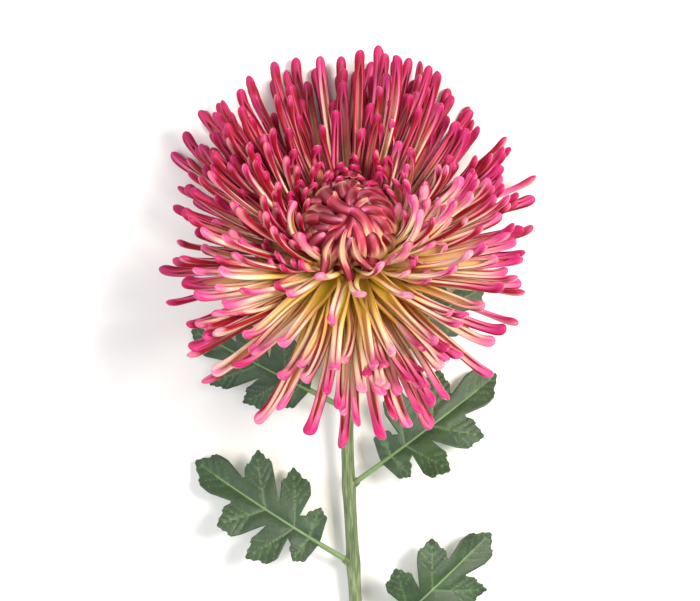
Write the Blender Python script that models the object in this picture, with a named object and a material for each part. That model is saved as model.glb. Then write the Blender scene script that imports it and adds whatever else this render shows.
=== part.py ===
"""One cut spider chrysanthemum lying on a surface: a bloom of quilled florets on its green calyx,
a ridged stem with a curved neck, and six lobed leaves. Metres, +Z up.

The bloom is at -Y and faces -Y and up, and the stem runs back to its cut end at +Y. The surface is
z = 0, and the origin lies on it under the middle of the flower.
"""

import math
import random
from collections import namedtuple

import bmesh
import bpy
from mathutils import Matrix, Vector
from mathutils.geometry import interpolate_bezier

# The bloom as it lies: its axis leans up from the surface, and its lower florets carry it
BLOOM_TILT = math.radians(42)
BLOOM_HEIGHT = 0.0400
RECEPTACLE_RADIUS = 0.0118
RECEPTACLE_RISE = 0.0080
RECEPTACLE_FOOT = -0.0031
EYE_CORE_RADIUS = 0.0095
EYE_CORE_TOP = 0.0240

# Florets stand on the receptacle a golden angle apart, as far round its rim as the seat limit
SEAT_LIMIT = math.radians(100)
GOLDEN_ANGLE = math.radians(137.508)
SEED = 4100

# A kind of floret. Pairs are for its innermost and its outermost floret: the lean from the bloom's
# axis at the root and at the tip, length and width. The hook and the swirl round the axis are the
# same for all of the kind. Angles are in degrees.
Kind = namedtuple("Kind", "count root_lean tip_lean hook swirl length width")
EYE = Kind(58, (26, 70), (-38, -72), 25, 38, (0.0300, 0.0440), (0.0038, 0.0046))
COLLAR = Kind(30, (66, 70), (-16, 18), 38, 0, (0.0400, 0.0520), (0.0042, 0.0042))
RAY = Kind(152, (52, 97), (20, 97), 36, 0, (0.0620, 0.0735), (0.0045, 0.0045))

# How far single florets stray from their kind
LEAN_STRAY = 3
TIP_STRAY = 6
SWIRL_STRAY = 8
LENGTH_STRAY = 0.05
WIDTH_STRAY = 0.0004

# How the bloom is out of round: florets at its back droop, and the inner ones there lean out, which
# opens its throat; those in front are longer, and those at its sides are the shortest
COLLAR_HANG = (42, 70)
THROAT = 42
RAY_DROOP = 14
RAY_FORWARD = 0.26
RAY_SIDES = 0.12
RAY_CLUMPING = 6

# A floret's path: it starts inside the receptacle and hooks inwards near its tip. One that heads
# down levels out near the surface, the outermost of them pressed against it.
ROOT_DEPTH = 0.0030
PATH_STEPS = 24
HOOK_START = 0.86
TABLE_KNEE = 0.0140
TABLE_REST = -0.0036
TABLE_LAYER = 0.0100

# Each ring of a floret: its place along it, its share of the width, its depth, and how high its
# upper edge stands, from 1 for a closed quill down to -1 for none
Ring = namedtuple("Ring", "share wide deep top")
RAY_RINGS = (
    Ring(0.00, 0.38, 0.0013, 1.0),
    Ring(0.46, 0.66, 0.0017, 0.8),
    Ring(0.84, 1.05, 0.0024, -0.1),
    Ring(1.00, 0.60, 0.0013, 0.3),
)
EYE_RINGS = (
    Ring(0.00, 0.42, 0.0014, 1.0),
    Ring(0.42, 0.85, 0.0020, 0.3),
    Ring(0.79, 1.05, 0.0023, 0.1),
    Ring(1.00, 0.50, 0.0012, 0.3),
)

# Edges shorter than this are left over where florets only just graze each other
SLIVER = 0.000002

# The green parts stand this far from each other and from the bloom
GAP = 0.0003

# The calyx: its rings from the foot up, as shares of its depth and of its radius
CALYX_RADIUS = 0.0112
CALYX_DEPTH = 0.0085
CALYX_RINGS = ((0, 0.34), (0.14, 0.46), (0.48, 0.80), (0.78, 0.97), (1, 1))
BRACT_COUNT = 13
BRACT_RELIEF = 0.0006

# The stem: it leaves the calyx along the bloom's axis, bends at its neck and rests on the surface at
# its cut end. Each way is towards the next point.
STEM_SIDES = 12
STEM_RADIUS = 0.0027
STEM_TOP_RADIUS = 0.0035
STEM_TOP_TAPER = 0.0080
STEM_RIDGE = 0.12
STEM_SWELLING = 0.0005
STEM_STEPS = 16
STEM_RING_SPACING = 0.0165
STEM_SHOULDER = 0.0220
STEM_NECK = Vector((0.0010, 0.0700, 0.0105))
STEM_NECK_WAY = Vector((0, 0.0220, -0.0012))
STEM_MIDDLE = Vector((-0.0045, 0.1900, 0.0050))
STEM_MIDDLE_WAY = Vector((-0.0006, 0.0400, -0.0006))
STEM_END = Vector((0.0040, 0.3200, STEM_RADIUS))
STEM_END_WAY = Vector((0, 0.0500, -0.0002))

# The leaves: a blade on a stalk, which grows out of a boss on the stem
LEAF_THICKNESS = 0.0008
LEAF_CLEARANCE = 0.0008
LEAF_FOLD = 0.16
LEAF_WAVE = 0.0016
LEAF_WAVES = 9
LEAF_RIBS = (0, 0.2, 0.4, 0.6, 0.8, 1)
PETIOLE_LENGTH = 0.0120
PETIOLE_RADIUS = 0.0012
MIDRIB_REACH = 0.80
MIDRIB_TAPER = 0.6
BOSS_LENGTH = 0.0020
BOSS_RADIUS = 0.0016
BOSS_FLARE = 1.3

# Leaves from the neck down: distance along the stem, side (+1 towards +X), how far it turns out of
# the stem's line and how steeply it rises in degrees, blade length, roll in degrees, tip height
Leaf = namedtuple("Leaf", "along side spread rise length roll tip")
LEAVES = (
    Leaf(0.036, -1, 60, 6, 0.046, 16, 0.004),
    Leaf(0.056, 1, 64, 8, 0.054, -18, 0.002),
    Leaf(0.088, -1, 56, 14, 0.060, -14, 0.002),
    Leaf(0.120, 1, 54, 16, 0.062, 16, 0.003),
    Leaf(0.158, -1, 50, 14, 0.058, 14, 0.002),
    Leaf(0.198, 1, 52, 12, 0.052, -12, 0.002),
)

# Lobes of half a blade in shares of its length: root on the midrib, angle to it in degrees,
# length, half width, and the notch that follows it; the last one is the tip of the blade
Lobe = namedtuple("Lobe", "root angle length half_width notch")
LOBES = (
    Lobe(0.08, 78, 0.19, 0.070, 0.215),
    Lobe(0.20, 60, 0.37, 0.100, 0.385),
    Lobe(0.43, 46, 0.37, 0.105, 0.680),
    Lobe(0.60, 0, 0.40, 0.125, None),
)
LOBE_ARC = (-95, -55, -20, 15, 50, 85)
NOTCH_DEPTH = 0.085

COLOURS = {
    "bloom": ((0.80, 0.13, 0.28), 0.45),
    "calyx": ((0.16, 0.27, 0.09), 0.60),
    "stem": ((0.25, 0.38, 0.14), 0.50),
    "leaf": ((0.06, 0.15, 0.04), 0.55),
}

Floret = namedtuple("Floret", "azimuth seat root_lean tip_lean hook swirl length width rest")


def clear_scene():
    for thing in list(bpy.data.objects):
        bpy.data.objects.remove(thing)


def material(name):
    colour, roughness = COLOURS[name]
    made = bpy.data.materials.new(name)
    made.use_nodes = True
    shader = made.node_tree.nodes["Principled BSDF"]
    shader.inputs["Base Color"].default_value = (*colour, 1)
    shader.inputs["Roughness"].default_value = roughness
    shader.inputs["Metallic"].default_value = 0
    return made


def object_from(mesh, name):
    """The bmesh as a named object, its faces turned outwards."""
    bmesh.ops.recalc_face_normals(mesh, faces=mesh.faces)
    data = bpy.data.meshes.new(name)
    mesh.to_mesh(data)
    mesh.free()
    made = bpy.data.objects.new(name, data)
    bpy.context.scene.collection.objects.link(made)
    return made


def finished(made, finish):
    made.data.materials.clear()
    made.data.materials.append(finish)
    made.data.shade_smooth()
    made.data.set_sharp_from_angle(angle=math.radians(50))
    return made


def applied(made):
    """The object with its modifiers worked into its mesh."""
    bpy.context.view_layer.update()
    evaluated = made.evaluated_get(bpy.context.evaluated_depsgraph_get())
    whole = bpy.data.meshes.new_from_object(evaluated)
    made.modifiers.clear()
    made.data = whole
    return made


def main_body(made):
    """The object's largest body: hollows sealed inside it are filled and loose scraps dropped."""
    mesh = bmesh.new()
    mesh.from_mesh(made.data)
    bmesh.ops.dissolve_degenerate(mesh, dist=SLIVER, edges=mesh.edges)
    midway = [vert for vert in mesh.verts if len(vert.link_edges) == 2]
    bmesh.ops.dissolve_verts(mesh, verts=midway)
    bmesh.ops.triangulate(mesh, faces=mesh.faces)
    waiting = set(mesh.faces)
    bodies = []
    while waiting:
        body, front = set(), [waiting.pop()]
        while front:
            face = front.pop()
            body.add(face)
            seams = [edge.link_faces for edge in face.edges if len(edge.link_faces) == 2]
            near = {other for seam in seams for other in seam} & waiting
            waiting -= near
            front.extend(near)
        bodies.append(body)
    bodies.sort(key=len)
    spare = [face for body in bodies[:-1] for face in body]
    bmesh.ops.delete(mesh, geom=spare, context="FACES")
    mesh.to_mesh(made.data)
    mesh.free()
    return made


def grown_together(base, parts):
    """The base and its parts as one solid."""
    group = bpy.data.collections.new(base.name + "_parts")
    bpy.context.scene.collection.children.link(group)
    for part in parts:
        bpy.context.scene.collection.objects.unlink(part)
        group.objects.link(part)
    union = base.modifiers.new("grown", "BOOLEAN")
    union.operation = "UNION"
    union.operand_type = "COLLECTION"
    union.collection = group
    applied(base)
    for part in parts:
        bpy.data.objects.remove(part)
    bpy.data.collections.remove(group)
    return main_body(base)


def draw_out(placements, sides, tops=None, ridge=0):
    """A closed tube: a unit ring set at each placement in turn. A quill's upper edge has its own
    height at each, and a ridged tube has every other edge drawn in."""
    mesh = bmesh.new()
    ring = bmesh.ops.create_circle(mesh, segments=sides, radius=1)["verts"]
    for vert in ring[1::2]:
        vert.co *= 1 - ridge
    edges = list(mesh.edges)
    bmesh.ops.holes_fill(mesh, edges=edges)
    placed = Matrix.Identity(4)
    for number, there in enumerate(placements):
        if number:
            grown = bmesh.ops.extrude_edge_only(mesh, edges=edges)["geom"]
            ring = [part for part in grown if isinstance(part, bmesh.types.BMVert)]
            inside = set(ring)
            grown_edges = [part for part in grown if isinstance(part, bmesh.types.BMEdge)]
            edges = [edge for edge in grown_edges if inside.issuperset(edge.verts)]
        back = placed.inverted()
        bmesh.ops.transform(mesh, matrix=there @ back, verts=ring)
        if tops:
            middle = [vert for vert in ring if abs((there.inverted() @ vert.co).x) < 0.5]
            upper = max(middle, key=lambda vert: (there.inverted() @ vert.co).y)
            upper.co = there @ Vector((0, tops[number], 0))
        placed = there
    bmesh.ops.holes_fill(mesh, edges=edges)
    return mesh


def placement(point, run, face, half_width, half_depth):
    """Stands a unit ring across a run: X over its width, Y to the side it faces."""
    side = face.cross(run).normalized()
    turn = Matrix((side * half_width, face * half_depth, run)).transposed().to_4x4()
    return Matrix.Translation(point) @ turn


def ease(value, low, high):
    """0 below low, 1 above high, and a smooth step between."""
    share = min(max((value - low) / (high - low), 0), 1)
    return share * share * (3 - 2 * share)


def bloom_frame():
    """The bloom's own frame: X to the side, Y up its back and Z along its axis."""
    sine, cosine = math.sin(BLOOM_TILT), math.cos(BLOOM_TILT)
    side = Vector((1, 0, 0))
    back = Vector((0, sine, cosine))
    axis = Vector((0, -cosine, sine))
    turn = Matrix((side, back, axis)).transposed().to_4x4()
    return Matrix.Translation((0, 0, BLOOM_HEIGHT)) @ turn


def between(pair, share):
    return pair[0] + (pair[1] - pair[0]) * share


def floret(kind, place, azimuth, seat, draw):
    """A floret of its kind, before the bloom's weight shows."""
    return Floret(
        azimuth=azimuth,
        seat=seat,
        root_lean=between(kind.root_lean, place) + draw.uniform(-LEAN_STRAY, LEAN_STRAY),
        tip_lean=between(kind.tip_lean, place) + draw.uniform(-TIP_STRAY, TIP_STRAY),
        hook=kind.hook + draw.uniform(-TIP_STRAY, TIP_STRAY),
        swirl=kind.swirl + draw.uniform(-SWIRL_STRAY, SWIRL_STRAY),
        length=between(kind.length, place) * draw.uniform(1 - LENGTH_STRAY, 1 + LENGTH_STRAY),
        width=between(kind.width, place) + draw.uniform(-WIDTH_STRAY, WIDTH_STRAY),
        rest=TABLE_REST + TABLE_LAYER * (1 - place),
    )


def collar_floret(place, azimuth, seat, draw):
    """A half-length floret that stands round the dome, or hangs over the throat behind it."""
    made = floret(COLLAR, place, azimuth, seat, draw)
    hang = between(COLLAR_HANG, place) * ease(math.sin(azimuth), 0.5, 1)
    return made._replace(tip_lean=made.tip_lean + hang)


def ray_floret(place, azimuth, seat, draw):
    """A long quill. Equal steps over a sphere spread the tips, and waves gather them in clumps."""
    made = floret(RAY, place, azimuth, seat, draw)
    middle = [(root + tip) / 2 for root, tip in zip(RAY.root_lean, RAY.tip_lean)]
    inner, outer = [math.cos(math.radians(lean)) for lean in middle]
    even = math.degrees(math.acos(between((inner, outer), place))) - between(middle, place)
    back, side = math.sin(azimuth), math.cos(azimuth)
    shift = even + RAY_DROOP * place * max(0, back) + LEAN_STRAY * math.sin(4 * azimuth + 2 * place)
    shift += THROAT * (1 - place) * ease(back, 0.4, 0.95)
    clump = math.sin(5 * azimuth) + math.sin(9 * azimuth + 4 * place) / 2
    return made._replace(
        azimuth=azimuth + math.radians(RAY_CLUMPING * clump),
        root_lean=made.root_lean + shift,
        tip_lean=made.tip_lean + shift,
        length=made.length * (1 + RAY_FORWARD * ease(-back, 0.15, 0.95) - RAY_SIDES * side * side),
    )


def florets():
    """Every floret from the middle outwards, with the rings it is drawn through."""
    total = EYE.count + COLLAR.count + RAY.count
    made = []
    for index in range(total):
        draw = random.Random(SEED + index)
        share = (index + 0.5) / total
        seat = math.acos(1 - share * (1 - math.cos(SEAT_LIMIT)))
        azimuth = index * GOLDEN_ANGLE
        if index < EYE.count:
            place = index / EYE.count
            made.append((floret(EYE, place, azimuth, seat, draw), EYE_RINGS))
        elif index < EYE.count + COLLAR.count:
            place = (index - EYE.count) / COLLAR.count
            made.append((collar_floret(place, azimuth, seat, draw), RAY_RINGS))
        else:
            place = (index - EYE.count - COLLAR.count) / RAY.count
            made.append((ray_floret(place, azimuth, seat, draw), RAY_RINGS))
    return made


def over_table(height, direction, rest):
    """The direction, levelled out as a floret that heads down nears its rest height."""
    if direction.z >= 0 or height >= TABLE_KNEE:
        return direction
    falling = direction.z * max(0, (height - rest) / (TABLE_KNEE - rest))
    level = Vector((direction.x, direction.y, 0))
    level = level.normalized() * math.sqrt(1 - falling * falling)
    return Vector((level.x, level.y, falling))


def centre_line(made):
    """Points along a floret, and at each the way it runs and the way its channel faces."""
    frame = bloom_frame()
    turn = frame.to_3x3()
    axis = Vector((0, 0, 1))
    seat = Vector((math.cos(made.azimuth), math.sin(made.azimuth), 0))
    seat *= RECEPTACLE_RADIUS * math.sin(made.seat)
    seat.z = RECEPTACLE_RISE * math.cos(made.seat)
    points, runs, faces = [], [], []
    for index in range(PATH_STEPS + 1):
        share = index / PATH_STEPS
        lean = between((made.root_lean, made.tip_lean), share)
        lean = math.radians(lean - made.hook * max(0, share - HOOK_START) / (1 - HOOK_START))
        angle = made.azimuth + math.radians(made.swirl) * share * share
        out = Vector((math.cos(angle), math.sin(angle), 0))
        run = turn @ (out * math.sin(lean) + axis * math.cos(lean))
        face = turn @ (axis * math.sin(lean) - out * math.cos(lean))
        if index:
            point = points[-1] + runs[-1] * made.length / PATH_STEPS
        else:
            point = frame @ seat - run * ROOT_DEPTH
        run = over_table(point.z, run, made.rest)
        points.append(point)
        runs.append(run)
        faces.append((face - run * face.dot(run)).normalized())
    return points, runs, faces


def quill(made, rings):
    points, runs, faces = centre_line(made)
    placements = []
    for ring in rings:
        at = round(ring.share * PATH_STEPS)
        half_width = made.width * ring.wide / 2
        placements.append(placement(points[at], runs[at], faces[at], half_width, ring.deep / 2))
    return object_from(draw_out(placements, 4, tops=[ring.top for ring in rings]), "floret")


def receptacle():
    """The dome that the florets stand on, flat underneath."""
    mesh = bmesh.new()
    bmesh.ops.create_uvsphere(mesh, u_segments=18, v_segments=10, radius=1)
    size = (RECEPTACLE_RADIUS, RECEPTACLE_RADIUS, RECEPTACLE_RISE)
    bmesh.ops.scale(mesh, vec=size, verts=mesh.verts)
    whole = mesh.verts[:] + mesh.edges[:] + mesh.faces[:]
    foot = (0, 0, RECEPTACLE_FOOT)
    cut = bmesh.ops.bisect_plane(mesh, geom=whole, plane_co=foot, plane_no=(0, 0, 1), clear_inner=True)
    rim = [part for part in cut["geom_cut"] if isinstance(part, bmesh.types.BMEdge)]
    bmesh.ops.holes_fill(mesh, edges=rim)
    bmesh.ops.transform(mesh, matrix=bloom_frame(), verts=mesh.verts)
    return object_from(mesh, "bloom")


def eye_core():
    """The packed heart of the dome, which the claws stand out of."""
    mesh = bmesh.new()
    bmesh.ops.create_uvsphere(mesh, u_segments=12, v_segments=8, radius=1)
    size = (EYE_CORE_RADIUS, EYE_CORE_RADIUS, EYE_CORE_TOP / 2)
    bmesh.ops.scale(mesh, vec=size, verts=mesh.verts)
    middle = Matrix.Translation((0, 0, EYE_CORE_TOP / 2))
    bmesh.ops.transform(mesh, matrix=bloom_frame() @ middle, verts=mesh.verts)
    return object_from(mesh, "eye_core")


def ground_cutter():
    """A block under the surface: it flattens what would dip below."""
    mesh = bmesh.new()
    bmesh.ops.create_cube(mesh, size=1)
    bmesh.ops.translate(mesh, vec=(0, 0, -0.5), verts=mesh.verts)
    cutter = object_from(mesh, "ground")
    cutter.hide_render = True
    cutter.display_type = "WIRE"
    return cutter


def bloom(ground):
    parts = [eye_core()] + [quill(made, rings) for made, rings in florets()]
    whole = grown_together(receptacle(), parts)
    rest = whole.modifiers.new("rest", "BOOLEAN")
    rest.operation = "DIFFERENCE"
    rest.object = ground
    return finished(main_body(applied(whole)), material("bloom"))


def calyx():
    """The green cup of overlapping bracts under the bloom."""
    foot = RECEPTACLE_FOOT - GAP - CALYX_DEPTH
    frame = bloom_frame()
    placements = []
    for number, (up, wide) in enumerate(CALYX_RINGS):
        middle = Matrix.Translation((0, 0, foot + CALYX_DEPTH * up))
        turn = Matrix.Rotation(math.pi / BRACT_COUNT * (number % 2), 4, "Z")
        size = Matrix.Diagonal((CALYX_RADIUS * wide, CALYX_RADIUS * wide, 1, 1))
        placements.append(frame @ middle @ turn @ size)
    mesh = draw_out(placements, BRACT_COUNT * 2, ridge=BRACT_RELIEF / CALYX_RADIUS)
    return finished(object_from(mesh, "calyx"), material("calyx"))


def stem_line():
    """Points down the stem's middle, from under the calyx to the cut end."""
    frame = bloom_frame()
    axis = frame.to_3x3() @ Vector((0, 0, 1))
    top = frame @ Vector((0, 0, RECEPTACLE_FOOT - GAP - CALYX_DEPTH - GAP))
    stops = (
        (top, -axis * STEM_SHOULDER),
        (STEM_NECK, STEM_NECK_WAY),
        (STEM_MIDDLE, STEM_MIDDLE_WAY),
        (STEM_END, STEM_END_WAY),
    )
    points = [top]
    for (here, leaving), (there, arriving) in zip(stops, stops[1:]):
        points += interpolate_bezier(here, here + leaving, there - arriving, there, STEM_STEPS)[1:]
    return points


def along_stem(distance):
    """The point that far down the stem, and the way the stem runs there, towards the bloom."""
    points = stem_line()
    for here, following in zip(points, points[1:]):
        step = (following - here).length
        if distance <= step or following is points[-1]:
            break
        distance -= step
    run = (here - following).normalized()
    return here - run * min(distance, step), run


def stem_radius(distance):
    """The stem widens under the calyx and swells a little at each leaf."""
    radius = between((STEM_TOP_RADIUS, STEM_RADIUS), ease(distance, 0, STEM_TOP_TAPER))
    for leaf in LEAVES:
        radius += STEM_SWELLING * (1 - ease(abs(distance - leaf.along), 0.001, 0.006))
    return radius


def stem_length():
    points = stem_line()
    return sum((after - before).length for before, after in zip(points, points[1:]))


def stem_stops():
    """Distances down the stem for its rings: evenly spaced, but closer at its top and its leaves."""
    length = stem_length()
    count = round(length / STEM_RING_SPACING)
    stops = {length * step / count for step in range(1, count)}
    for leaf in LEAVES:
        stops = {stop for stop in stops if abs(stop - leaf.along) > STEM_RING_SPACING / 2}
        stops.update(leaf.along + way * STEM_RING_SPACING / 3 for way in (-1, 0, 1))
    return sorted(stops | {0, STEM_TOP_TAPER / 2, STEM_TOP_TAPER, length})


def stem():
    placements = []
    for stop in stem_stops():
        point, run = along_stem(stop)
        face = (Vector((0, 0, 1)) - run * run.z).normalized()
        radius = stem_radius(stop)
        placements.append(placement(point, -run, face, radius, radius))
    mesh = draw_out(placements, STEM_SIDES, ridge=STEM_RIDGE)
    whole = object_from(mesh, "stem")
    return finished(grown_together(whole, [boss(leaf) for leaf in LEAVES]), material("stem"))


def leaf_directions(leaf):
    """The way a leaf leaves the stem, and the way its upper face looks."""
    point, run = along_stem(leaf.along)
    level = Vector((run.x, run.y, 0)).normalized()
    across = Vector((level.y, -level.x, 0)) * -leaf.side
    spread, rise = math.radians(leaf.spread), math.radians(leaf.rise)
    out = level * math.cos(spread) + across * math.sin(spread)
    out = out * math.cos(rise) + Vector((0, 0, math.sin(rise)))
    up = (Vector((0, 0, 1)) - out * out.z).normalized()
    up.rotate(Matrix.Rotation(math.radians(leaf.roll), 3, out))
    return point, out, up


def boss(leaf):
    """The small knob on the stem that a leaf stalk grows from."""
    point, out, up = leaf_directions(leaf)
    reach = stem_radius(leaf.along) + BOSS_LENGTH
    placements = [
        placement(point, out, up, BOSS_RADIUS * BOSS_FLARE, BOSS_RADIUS * BOSS_FLARE),
        placement(point + out * reach, out, up, BOSS_RADIUS, BOSS_RADIUS),
    ]
    return object_from(draw_out(placements, 8), "boss")


def leaf_point(leaf, along, across, lift):
    """A place on a leaf as it lies: it arches over to its tip, folds up from the midrib and
    waves, and nowhere dips below the surface."""
    point, out, up = leaf_directions(leaf)
    start = point + out * (stem_radius(leaf.along) + BOSS_LENGTH + GAP)
    side = up.cross(out)
    whole = PETIOLE_LENGTH + leaf.length
    sag = (start.z + out.z * whole - leaf.tip) / (whole * whole)
    place = along / leaf.length
    wave = LEAF_WAVE * math.sin(LEAF_WAVES * place + leaf.side) * (5 * across / leaf.length) ** 2
    fold = LEAF_FOLD * abs(across)
    spot = start + out * (PETIOLE_LENGTH + along) + side * across
    spot += up * (lift + fold + wave)
    spot.z -= sag * (PETIOLE_LENGTH + along) ** 2
    short = LEAF_CLEARANCE + lift - spot.z
    if short > 0:
        spot.z += short
    return spot


def half_outline(side, length):
    """Half of the lobed outline from foot to tip, as distances along and across the blade."""
    spots = [Vector((0, 0.010 * length))]
    for lobe in LOBES:
        last = lobe.notch is None
        angle = math.radians(lobe.angle)
        out = Vector((math.cos(angle), math.sin(angle)))
        on = Vector((math.sin(angle), -math.cos(angle)))
        arc = [step for step in LOBE_ARC if not last or step < 0] + ([0] if last else [])
        for step in arc:
            turned = math.radians(step)
            far = lobe.length * (0.62 + 0.38 * math.cos(turned)) * (1 + 0.05 * math.cos(5 * turned))
            wide = lobe.half_width * math.sin(turned)
            spots.append((Vector((lobe.root, 0)) + out * far + on * wide) * length)
        if not last:
            spots.append(Vector((lobe.notch, NOTCH_DEPTH)) * length)
    return [Vector((spot.x, spot.y * side)) for spot in spots]


def blade(leaf):
    """A lobed slab, the same triangles above and below, then shaped as it lies."""
    mesh = bmesh.new()
    rib = [mesh.verts.new((share * leaf.length, 0, 0)) for share in LEAF_RIBS]
    rib_edges = [mesh.edges.new(pair) for pair in zip(rib, rib[1:])]
    for side in (-1, 1):
        spots = half_outline(side, leaf.length)[:-1]
        rim = [rib[0]] + [mesh.verts.new((*spot, 0)) for spot in spots] + [rib[-1]]
        edges = [mesh.edges.new(pair) for pair in zip(rim, rim[1:])]
        bmesh.ops.triangle_fill(mesh, use_beauty=True, edges=edges + rib_edges)
    grown = bmesh.ops.extrude_face_region(mesh, geom=mesh.faces[:])["geom"]
    upper = {part for part in grown if isinstance(part, bmesh.types.BMVert)}
    for vert in mesh.verts:
        lift = LEAF_THICKNESS if vert in upper else 0
        vert.co = leaf_point(leaf, vert.co.x, vert.co.y, lift)
    return object_from(mesh, "blade")


def stalk(leaf):
    """The leaf stalk, which runs on under the blade as its midrib."""
    placements = []
    _, _, up = leaf_directions(leaf)
    reach = MIDRIB_REACH * leaf.length
    stops = [-PETIOLE_LENGTH, -PETIOLE_LENGTH / 2, 0, reach / 3, reach * 2 / 3, reach]
    for stop in stops:
        radius = PETIOLE_RADIUS * (1 - MIDRIB_TAPER * max(0, stop) / reach)
        lift = LEAF_THICKNESS / 2 - radius / 2 * ease(stop, -PETIOLE_LENGTH, 0)
        point = leaf_point(leaf, stop, 0, lift)
        before, after = [leaf_point(leaf, stop + step, 0, lift) for step in (-0.001, 0.001)]
        run = (after - before).normalized()
        face = (up - run * up.dot(run)).normalized()
        placements.append(placement(point, run, face, radius, radius))
    return object_from(draw_out(placements, 6), "stalk")


def leaves():
    finish = material("leaf")
    made = []
    for number, leaf in enumerate(LEAVES):
        whole = grown_together(blade(leaf), [stalk(leaf)])
        whole.name = f"leaf_{number + 1}"
        made.append(finished(whole, finish))
    return made


def set_on_origin(pieces, guides):
    """Moves everything sideways until the origin is under the middle of its box."""
    bpy.context.view_layer.update()
    depsgraph = bpy.context.evaluated_depsgraph_get()
    spots = []
    for piece in pieces:
        evaluated = piece.evaluated_get(depsgraph)
        spots += [piece.matrix_world @ vert.co for vert in evaluated.data.vertices]
    middle = [
        (min(spot[way] for spot in spots) + max(spot[way] for spot in spots)) / 2 for way in (0, 1)
    ]
    flower = bpy.data.objects.new("flower", None)
    bpy.context.scene.collection.objects.link(flower)
    flower.location = (-middle[0], -middle[1], 0)
    for thing in pieces + guides:
        thing.parent = flower


def main():
    clear_scene()
    ground = ground_cutter()
    pieces = [bloom(ground), calyx(), stem()] + leaves()
    set_on_origin(pieces, [ground])


main()
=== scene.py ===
# One cut spider chrysanthemum lying on a table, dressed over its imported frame. Metres, +Z up.
import random
from functools import partial
from math import acos, atan2, cos, degrees, pi, radians, sin, sqrt

import bmesh
import bpy
from bmesh import ops
from mathutils import Matrix, Vector
from mathutils.geometry import interpolate_bezier


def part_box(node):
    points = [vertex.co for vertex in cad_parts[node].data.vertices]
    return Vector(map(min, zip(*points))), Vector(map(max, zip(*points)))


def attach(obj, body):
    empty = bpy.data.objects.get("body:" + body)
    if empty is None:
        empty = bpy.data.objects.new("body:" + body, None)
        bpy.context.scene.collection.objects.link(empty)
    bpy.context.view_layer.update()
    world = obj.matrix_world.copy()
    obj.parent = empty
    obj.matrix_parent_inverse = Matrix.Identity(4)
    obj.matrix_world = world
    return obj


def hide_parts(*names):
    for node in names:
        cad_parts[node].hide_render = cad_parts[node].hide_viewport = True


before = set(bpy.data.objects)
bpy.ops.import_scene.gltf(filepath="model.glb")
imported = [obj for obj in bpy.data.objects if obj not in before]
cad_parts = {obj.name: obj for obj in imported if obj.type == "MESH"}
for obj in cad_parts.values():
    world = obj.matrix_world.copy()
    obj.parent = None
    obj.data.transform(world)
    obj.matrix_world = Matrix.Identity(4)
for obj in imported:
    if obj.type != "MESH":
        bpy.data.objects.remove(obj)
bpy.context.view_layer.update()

print("frame loaded:", len(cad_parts), "nodes")


def between(pair, share):
    return pair[0] + (pair[1] - pair[0]) * share


def ease(value, low, high):  # a smooth step from 0 to 1
    share = min(max((value - low) / (high - low), 0), 1)
    return share * share * (3 - 2 * share)


def alongStops(stops, share):  # between (place, value) pairs
    for (start, low), (end, high) in zip(stops, stops[1:]):
        if share <= end:
            return between((low, high), (share - start) / (end - start))
    return stops[-1][1]


def heading(angle, radius=1, height=0):  # round Z, from X
    return Vector((radius * cos(angle), radius * sin(angle), height))


upright = Vector((0, 0, 1))


def squared(face, run):  # turned square to the run
    return (face - run * face.dot(run)).normalized()


def linear(hexCode):  # sRGB hex to linear red, green, blue and alpha
    parts = [int(hexCode[at:at + 2], 16) / 255 for at in (1, 3, 5)]
    return [part / 12.92 if part <= 0.04045 else ((part + 0.055) / 1.055) ** 2.4 for part in parts] + [1]


# Gives a new node's output. Its inputs are values or sockets to link, in their order or by name.
def addNode(material, kind, inputs=(), operation=None, output=0, stops=(), **settings):
    tree = material.node_tree
    node = tree.nodes.new("ShaderNode" + kind)
    if operation:
        node.operation = operation
    for name, value in settings.items():
        setattr(node, name, value)
    for name, value in inputs.items() if isinstance(inputs, dict) else enumerate(inputs):
        if isinstance(value, bpy.types.NodeSocket):
            tree.links.new(value, node.inputs[name])
        else:
            node.inputs[name].default_value = value
    for number, (place, colour) in enumerate(stops):
        elements = node.color_ramp.elements
        element = elements[number] if number < 2 else elements.new(place)
        element.position = place
        element.color = linear(colour)
    return node.outputs[output]


def newMaterial(name, **sockets):  # it, and what adds its nodes; sockets have _ for a space
    made = bpy.data.materials.new(name)
    made.use_nodes = True
    shader = made.node_tree.nodes["Principled BSDF"]
    for socket, value in sockets.items():
        shader.inputs[socket.replace("_", " ")].default_value = value
    return made, partial(addNode, made)


def dressShader(material, colour, height, strength=0, depth=0):  # height gives it relief
    links, shader = material.node_tree.links, material.node_tree.nodes["Principled BSDF"]
    links.new(colour, shader.inputs["Base Color"])
    if depth:
        relief = addNode(material, "Bump", {"Height": height, "Strength": strength, "Distance": depth})
        links.new(relief, shader.inputs["Normal"])
    return material


def stripPlaces(add, uvLayer):  # across, along, and how far off the middle
    across = add("SeparateXYZ", [add("UVMap", uv_map=uvLayer)])
    centred = add("Math", (across, 0.5), "SUBTRACT")
    return across, across.node.outputs[1], add("Math", [centred], "ABSOLUTE")


def linkObject(name, data):
    made = bpy.data.objects.new(name, data)
    bpy.context.scene.collection.objects.link(made)
    return made


def finishPiece(mesh, name, materials, nodes, slot):  # it stands for CAD nodes
    data = bpy.data.meshes.new(name)
    mesh.to_mesh(data)
    mesh.free()
    data.shade_smooth()
    for material in materials:
        data.materials.append(material)
    piece = linkObject(name, data)
    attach(piece, "root")
    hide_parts(*nodes)
    return piece


def addThickness(piece, thickness, faceSlot=0, rimSlot=0):  # slots count on from a face's own
    flesh = piece.modifiers.new("flesh", "SOLIDIFY")
    flesh.thickness = thickness
    flesh.offset = -1
    flesh.material_offset = faceSlot
    flesh.material_offset_rim = rimSlot


def addSubdivision(piece):
    smooth = piece.modifiers.new("smooth", "SUBSURF")
    smooth.levels = 1
    smooth.render_levels = 1


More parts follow.
